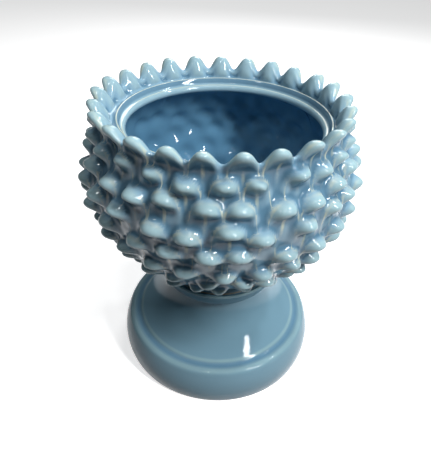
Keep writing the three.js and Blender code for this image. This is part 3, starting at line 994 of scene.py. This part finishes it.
    def _inside(self) -> RingGrid:
        """Makes the inside of the pot, softly dimpled behind each scale.

        Returns:
            The rings from the mouth's lip to the floor.
        """
        mouth = self.ridge - self.mouth_drop
        corner = float(self.wall.radius_at(np.array(mouth))) - self.wall_thickness
        under_lip = [(lerp(self.mouth_radius, corner, 0.6), mouth - 0.4)]
        under_lip.append((corner - 1.0, mouth - self.flange_corner * 0.5))
        highest = self.wall.station_of(mouth - 2 * self.flange_corner)
        lowest = self.wall.station_of(self.foot_rise + self.wall_thickness)
        dents = melted(self.relief, *self.dimple_melt) - melted(self.relief, *self.level_melt)
        levels = np.linspace(0.0, self.wall.length, self.outer_rings)
        stations = np.linspace(highest, lowest, self.inside_rings)
        angle = self.angles[::2]
        rings = []
        for station in stations:
            row = np.interp(station, levels, np.arange(self.outer_rings))
            below = int(row)
            dent = lerp(dents[below], dents[min(below + 1, self.outer_rings - 1)], row - below)[::2]
            depth = self.wall_thickness - self.dimple_share * dent
            radius, height = self.wall.place(np.array(station))
            out_x, out_z = self.wall.outward(np.array(station))
            rings.append(self._at(angle, radius - out_x * depth, height - out_z * depth))
        last = rings[-1]
        floor = self.foot_hollow + self.floor_thickness + self.foot
        for part in (0.35, 0.7, 1.0):
            ring = last.copy()
            radius = np.hypot(ring[:, 0], ring[:, 1])
            shrink = (radius - self.floor_corner * part) / radius
            ring[:, :2] *= shrink[:, None]
            ring[:, 2] = lerp(ring[:, 2], floor, math.sin(part * math.pi / 2))
            rings.append(ring)
        lip = self._rings(under_lip, self.columns // 2, 1.0)
        points = melted(np.concatenate([lip, np.stack(rings)]), *self.inside_melt)
        # The inside value paints the deeper blue of painted shade; the ring under the lip takes most
        # of it.
        inside = np.ones(points.shape[:2])
        inside[0] = 0.6
        return RingGrid(points, {Role.INSIDE: inside})


# ------------------------------------------------------------------ the stand
@dataclass
class Stand:
    """The hollow stand: foot, skirt, shoulder, groove, flare, waist and cupped collar."""

    foot_radius: float
    height: float
    seat_height: float
    foot_land: float = 8.0
    skirt_bulge: float = 6.0
    skirt_height: float = 41.0
    skirt_taper: float = 4.3
    shoulder_width: float = 5.9
    shoulder_rise: float = 3.5
    groove_width: float = 9.6
    groove_depth: float = 0.6
    flare_rise: float = 1.6
    flare_pull_width: float = 8.0
    flare_pull_rise: float = 19.0
    waist_radius: float = 54.0
    waist_height: float = 96.0
    cup_pull_drop: float = 17.0
    cup_pull_width: float = 3.5
    collar_radius: float = 71.5
    collar_lip: float = 3.0
    collar_round: float = 1.5
    collar_wall: float = 5.9
    wall_thickness: float = 7.0
    corner_drop: float = 9.8
    seat_thickness: float = 8.0
    corner_width: float = 8.0
    columns: int = 256

    def __post_init__(self) -> None:
        """Works out the heights and the curves that the outline runs through."""
        self.top_radius = self.foot_radius - self.skirt_taper
        self.shoulder_radius = self.top_radius - self.shoulder_width
        self.shoulder = self.skirt_height + self.shoulder_rise
        self.flare_radius = self.shoulder_radius - self.groove_width
        self.flare = self.shoulder + self.flare_rise
        self.ceiling = self.seat_height - self.seat_thickness
        collar = self.height - self.collar_round
        self.skirt_curve = self._curve(
            (self.foot_radius, 0.0),
            (self.foot_radius + self.skirt_bulge, self.skirt_height / 2),
            (self.top_radius, self.skirt_height),
            24,
        )
        self.flare_curve = self._curve(
            (self.flare_radius, self.flare),
            (self.waist_radius + self.flare_pull_width, self.flare + self.flare_pull_rise),
            (self.waist_radius, self.waist_height),
            48,
        )
        self.cup_curve = self._curve(
            (self.waist_radius, self.waist_height),
            (self.collar_radius - self.cup_pull_width, collar - self.cup_pull_drop),
            (self.collar_radius, collar),
            24,
        )

    def build(self) -> bpy.types.Object:
        """Builds the stand.

        Returns:
            The stand as one closed skin.
        """
        profile = [*self._hollow(), *self._outside(), *self._collar()]
        angle = np.arange(self.columns) * TAU / self.columns
        radius, height, *values = (np.array(column)[:, None] for column in zip(*profile))
        x, y = np.cos(angle) * radius, np.sin(angle) * radius
        grid = RingGrid(np.stack(np.broadcast_arrays(x, y, height), axis=-1).copy())
        for role, column in zip((Role.THIN, Role.POOL_AND_SHADE, Role.INSIDE, Role.BARE), values):
            grid.values[role] = np.repeat(column, self.columns, axis=1)
        return skin_mesh("stand_casting", [grid], (self.ceiling, self.seat_height))

    def dress(self, piece: bpy.types.Object) -> None:
        """Glazes the stand and puts it in the place of its CAD node.

        Args:
            piece: The stand's skin.
        """
        piece.data.materials.append(STAND_GLAZE.build())
        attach(piece, "stand")
        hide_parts("stand")

    @staticmethod
    def _curve(start: Corner, pull: Corner, end: Corner, steps: int) -> list[Corner]:
        """Draws a curve from start towards pull and on to end.

        Args:
            start: Radius and height where it starts.
            pull: Radius and height that it bends towards.
            end: Radius and height where it ends.
            steps: Parts that it is drawn in.

        Returns:
            Its points.
        """
        points = []
        for step in range(steps + 1):
            t = step / steps
            weights = ((1 - t) ** 2, 2 * t * (1 - t), t * t)
            pulls = list(zip(weights, (start, pull, end)))
            points.append((sum(w * p[0] for w, p in pulls), sum(w * p[1] for w, p in pulls)))
        return points

    def _under(self, curve: list[Corner], share: float) -> Corner:
        """Finds the inner face of the wall under a curve of the outside.

        Args:
            curve: Points of the outside.
            share: How far along the curve.

        Returns:
            Radius and height a wall's thickness inside the skin.
        """
        index = min(len(curve) - 2, int(share * (len(curve) - 1)))
        (x, y), (next_x, next_y) = curve[index], curve[index + 1]
        length = math.hypot(next_x - x, next_y - y)
        along_x, along_y = (next_x - x) / length, (next_y - y) / length
        return x - along_y * self.wall_thickness, y + along_x * self.wall_thickness

    def _hollow(self) -> list[tuple[float, ...]]:
        """Runs down the hollow, from the ceiling under the seat to the foot.

        Returns:
            Radius, height, thin, pool, inside and bare, ring by ring.
        """
        rows = [(self.waist_radius - self.corner_width, self.ceiling, 0, 0, 1, 0)]
        for share in (0.25, 0.1):
            rows.append((*self._under(self.cup_curve, share), 0, 0, 1, 0))
        for share in (0.97, 0.85, 0.7, 0.5, 0.35, 0.2, 0.0):
            rows.append((*self._under(self.flare_curve, share), 0, 0, 1, 0))
        rows.append((self.top_radius - self.wall_thickness, self.flare - self.corner_drop, 0, 0, 1, 0))
        for share in (0.7, 0.5, 0.25):
            rows.append((*self._under(self.skirt_curve, share), 0, 0, 1, 0))
        return rows

    def _outside(self) -> list[tuple[float, ...]]:
        """Runs up the outside: foot, skirt, shoulder, groove, flare and cup.

        Returns:
            Radius, height, thin, pool, inside and bare, ring by ring.
        """
        foot, land = self.foot_radius, self.foot_radius - self.foot_land
        top, edge, groove_end = self.top_radius, self.shoulder_radius, self.flare_radius
        groove = edge - self.groove_width / 2
        shoulder, flare = self.shoulder, self.flare
        return [
            (land - 0.6, 2.0, 0, 0, 0.5, 0.5),
            (land + 0.3, 0.3, 0, 0, 0, 1),
            (land + 1.0, 0.0, 0, 0, 0, 1),
            (foot - 1.2, 0.0, 0, 0, 0, 1),
            (foot - 0.3, 0.5, 0.3, 0, 0, 0.8),
            (*self.skirt_curve[1], 0.35, 0, 0, 0),
            *((*corner, 0, 0, 0, 0) for corner in self.skirt_curve[2:-1]),
            (top, self.skirt_height, 0.1, 0, 0, 0),
            (lerp(top, edge, 0.25) + 0.5, shoulder - 2.0, 0.2, 0, 0, 0),
            (lerp(top, edge, 0.55) + 0.6, shoulder - 0.7, 0.5, 0, 0, 0),
            (edge, shoulder, 0.5, 0, 0, 0),
            # The groove takes the pooled colour: glaze pooling with painted shade.
            (lerp(edge, groove, 0.45), shoulder - 0.3, 0.1, 0.2, 0, 0),
            (groove, shoulder - self.groove_depth, 0, 0.8, 0, 0),
            (lerp(groove, groove_end, 0.55), shoulder - 0.1, 0, 0.5, 0, 0),
            (groove_end + 0.9, flare - 0.8, 0.3, 0.1, 0, 0),
            (groove_end, flare, 0.7, 0, 0, 0),
            (*self.flare_curve[1], 0.5, 0, 0, 0),
            *((*corner, 0, 0, 0, 0) for corner in self.flare_curve[2:-1]),
            *((*corner, 0, 0, 0, 0) for corner in self.cup_curve[:-1]),
        ]

    def _collar(self) -> list[tuple[float, ...]]:
        """Runs over the collar's rounded lip and down to the flat seat.

        Returns:
            Radius, height, thin, pool, inside and bare, ring by ring.
        """
        outer, top, seat = self.collar_radius, self.height, self.seat_height
        lip = outer - self.collar_lip
        inner = outer - self.collar_wall
        return [
            (outer, top - self.collar_round, 0.2, 0, 0, 0),
            (outer - 0.4, top - 0.5, 0.8, 0, 0, 0),
            (outer - 1.5, top, 1.0, 0, 0, 0),
            (lip + 0.8, top - 0.3, 1.0, 0, 0, 0),
            (lip, top - 1.2, 0.5, 0, 0, 0),
            # The recess down to the seat's corner takes the pooled colour: glaze pooling with painted
            # shade.
            (lerp(lip, inner, 0.35), top - 3.0, 0, 0.3, 0, 0),
            (inner, seat + 1.5, 0, 1, 0.4, 0),
            (inner - 1.2, seat, 0, 1, 0.4, 0),
            (inner - self.corner_width, seat, 0, 0.4, 0.4, 0),
        ]


# ------------------------------------------------------------------ studio
@dataclass(frozen=True)
class Softbox:
    """One lamp of the studio, a rectangle of light.

    Attributes:
        name: Name of the lamp.
        azimuth: Degrees round from the front, towards +X.
        elevation: Degrees up from the floor.
        distance: Metres from the pot.
        size: Width and height in metres.
        power: Watts.
        colour: sRGB hex colour.
    """

    name: str
    azimuth: float
    elevation: float
    distance: float
    size: tuple[float, float]
    power: float
    colour: str = "#ffffff"

    def build(self, target: Vector) -> None:
        """Hangs the lamp and turns it to the target.

        Args:
            target: The place that it lights, in metres.
        """
        azimuth, elevation = math.radians(self.azimuth), math.radians(self.elevation)
        level = math.cos(elevation)
        direction = Vector(
            (math.sin(azimuth) * level, -math.cos(azimuth) * level, math.sin(elevation))
        )
        data = bpy.data.lights.new(self.name, "AREA")
        data.shape = "RECTANGLE"
        data.size, data.size_y = self.size
        data.energy = self.power
        data.color = linear_colour(self.colour)[:3]
        lamp = bpy.data.objects.new(self.name, data)
        lamp.location = target + direction * self.distance
        lamp.rotation_euler = direction.to_track_quat("Z", "Y").to_euler()
        bpy.context.scene.collection.objects.link(lamp)


@dataclass
class Studio:
    """Pale floor, soft light and the camera at the photograph's angle."""

    camera_place: tuple[float, float, float] = (0.0, -0.4021, 0.4647)
    yaw: float = -0.737
    pitch: float = 36.618
    roll: float = 1.927
    focal_pixels: float = 440.0
    picture_height: float = 450.0
    sensor: float = 36.0
    floor_size: float = 6.0
    floor_colour: str = "#fbfbfb"
    world_colour: str = "#dfe6ea"
    bounce_colour: str = "#666c70"
    world_strength: float = 0.07
    floor_lift: float = 0.6
    # The key casts the shadows, and the sparks are the small round highlights.
    lamps: tuple[Softbox, ...] = (
        Softbox("key_right", 53, 47, 1.3, (0.12, 0.6), 17.5),
        Softbox("fill_top", 40, 78, 1.6, (0.4, 0.4), 2.5),
        Softbox("spark_left", -50, 58, 1.2, (0.06, 0.06), 0.7),
        Softbox("spark_front", -15, 68, 1.2, (0.08, 0.08), 1.5),
        Softbox("spark_right", 105, 58, 1.3, (0.08, 0.08), 4.0),
        Softbox("spark_back", 150, 60, 1.3, (0.08, 0.08), 2.0),
        Softbox("fill_back", 172, 32, 1.7, (0.7, 0.5), 9.0),
    )

    def build(self, target: Vector) -> None:
        """Sets up the floor, the light and the camera.

        Args:
            target: The place that the lamps light, in metres.
        """
        scene = bpy.context.scene
        scene.view_settings.view_transform = "Standard"
        self._floor()
        self._world(scene)
        for lamp in self.lamps:
            lamp.build(target)
        self._camera(scene)

    def _floor(self) -> None:
        """Lays the pale floor, which shows white to the camera."""
        half = self.floor_size / 2
        mesh = bpy.data.meshes.new("studio_floor")
        corners = [(-half, -half, 0), (half, -half, 0), (half, half, 0), (-half, half, 0)]
        mesh.from_pydata(corners, [], [(0, 1, 2, 3)])
        floor = bpy.data.objects.new("studio_floor", mesh)
        bpy.context.scene.collection.objects.link(floor)
        material = bpy.data.materials.new("pale_floor")
        material.use_nodes = True
        tree = material.node_tree
        tree.nodes.clear()
        rays = add_node(tree, "ShaderNodeLightPath").outputs
        seen = rays["Is Camera Ray"]
        for kind in ("Is Glossy Ray", "Is Transmission Ray"):
            either = {0: seen, 1: rays[kind]}
            seen = add_node(tree, "ShaderNodeMath", {"operation": "MAXIMUM"}, either).outputs[0]
        colour = add_node(tree, "ShaderNodeMix", {"data_type": "RGBA"}, {0: seen})
        colour.inputs[6].default_value = linear_colour(self.bounce_colour)
        colour.inputs[7].default_value = linear_colour(self.floor_colour)
        paper = add_node(tree, "ShaderNodeBsdfDiffuse", None, {"Color": colour.outputs[2]})
        lifted = {"operation": "MULTIPLY", 1: self.floor_lift}
        lift = add_node(tree, "ShaderNodeMath", lifted, {0: seen})
        glow = add_node(tree, "ShaderNodeEmission", None, {"Strength": lift.outputs[0]})
        both = add_node(tree, "ShaderNodeAddShader", None, {0: paper.outputs[0], 1: glow.outputs[0]})
        add_node(tree, "ShaderNodeOutputMaterial", None, {"Surface": both.outputs[0]})
        mesh.materials.append(material)

    def _world(self, scene: bpy.types.Scene) -> None:
        """Sets the pale world: plain light, and white behind the object.

        Args:
            scene: The scene that it belongs to.
        """
        world = bpy.data.worlds.new("studio")
        scene.world = world
        world.use_nodes = True
        tree = world.node_tree
        tree.nodes.clear()
        rays = add_node(tree, "ShaderNodeLightPath")
        light = add_node(
            tree,
            "ShaderNodeBackground",
            {"Color": linear_colour(self.world_colour), "Strength": self.world_strength},
        )
        white = add_node(tree, "ShaderNodeBackground", {"Color": (1, 1, 1, 1), "Strength": 1.0})
        mixed = add_node(
            tree,
            "ShaderNodeMixShader",
            None,
            {0: rays.outputs["Is Camera Ray"], 1: light.outputs[0], 2: white.outputs[0]},
        )
        add_node(tree, "ShaderNodeOutputWorld", None, {"Surface": mixed.outputs[0]})

    def _camera(self, scene: bpy.types.Scene) -> None:
        """Places the camera where the photograph was taken from.

        Args:
            scene: The scene that it belongs to.
        """
        yaw, pitch, roll = (math.radians(a) for a in (self.yaw, self.pitch, self.roll))
        forward = Vector(
            (math.sin(yaw) * math.cos(pitch), math.cos(yaw) * math.cos(pitch), -math.sin(pitch))
        )
        level = Vector((math.cos(yaw), -math.sin(yaw), 0.0))
        upright = level.cross(forward)
        right = math.cos(roll) * level + math.sin(roll) * upright
        up = -math.sin(roll) * level + math.cos(roll) * upright
        data = bpy.data.cameras.new("camera")
        data.sensor_fit = "VERTICAL"
        data.sensor_height = self.sensor
        data.lens = self.focal_pixels / self.picture_height * self.sensor
        camera = bpy.data.objects.new("camera", data)
        turned = Matrix((right, up, -forward)).transposed().to_4x4()
        camera.matrix_world = Matrix.Translation(self.camera_place) @ turned
        scene.collection.objects.link(camera)
        scene.camera = camera


# ------------------------------------------------------------------ making it
def main() -> None:
    """Builds the stand and the pot round the frame, and the studio round them."""
    logging.basicConfig(level=logging.INFO, format="%(message)s")
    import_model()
    stand_low, stand_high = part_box("stand")
    pot_low, pot_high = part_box("pot")
    foot = pot_low.z / MM
    stand = Stand(foot_radius=116.0, height=stand_high.z / MM, seat_height=foot - SEAT_GAP)
    pot = Jardiniere(foot=foot, rim_height=202.7)
    for part in (stand, pot):
        piece = part.build()
        part.dress(piece)
        LOG.info("%s: %d faces", piece.name, len(piece.data.polygons))
    Studio().build(Vector((0.0, 0.0, (pot_high.z + stand_low.z) / 2)))


if __name__ == "__main__":
    main()
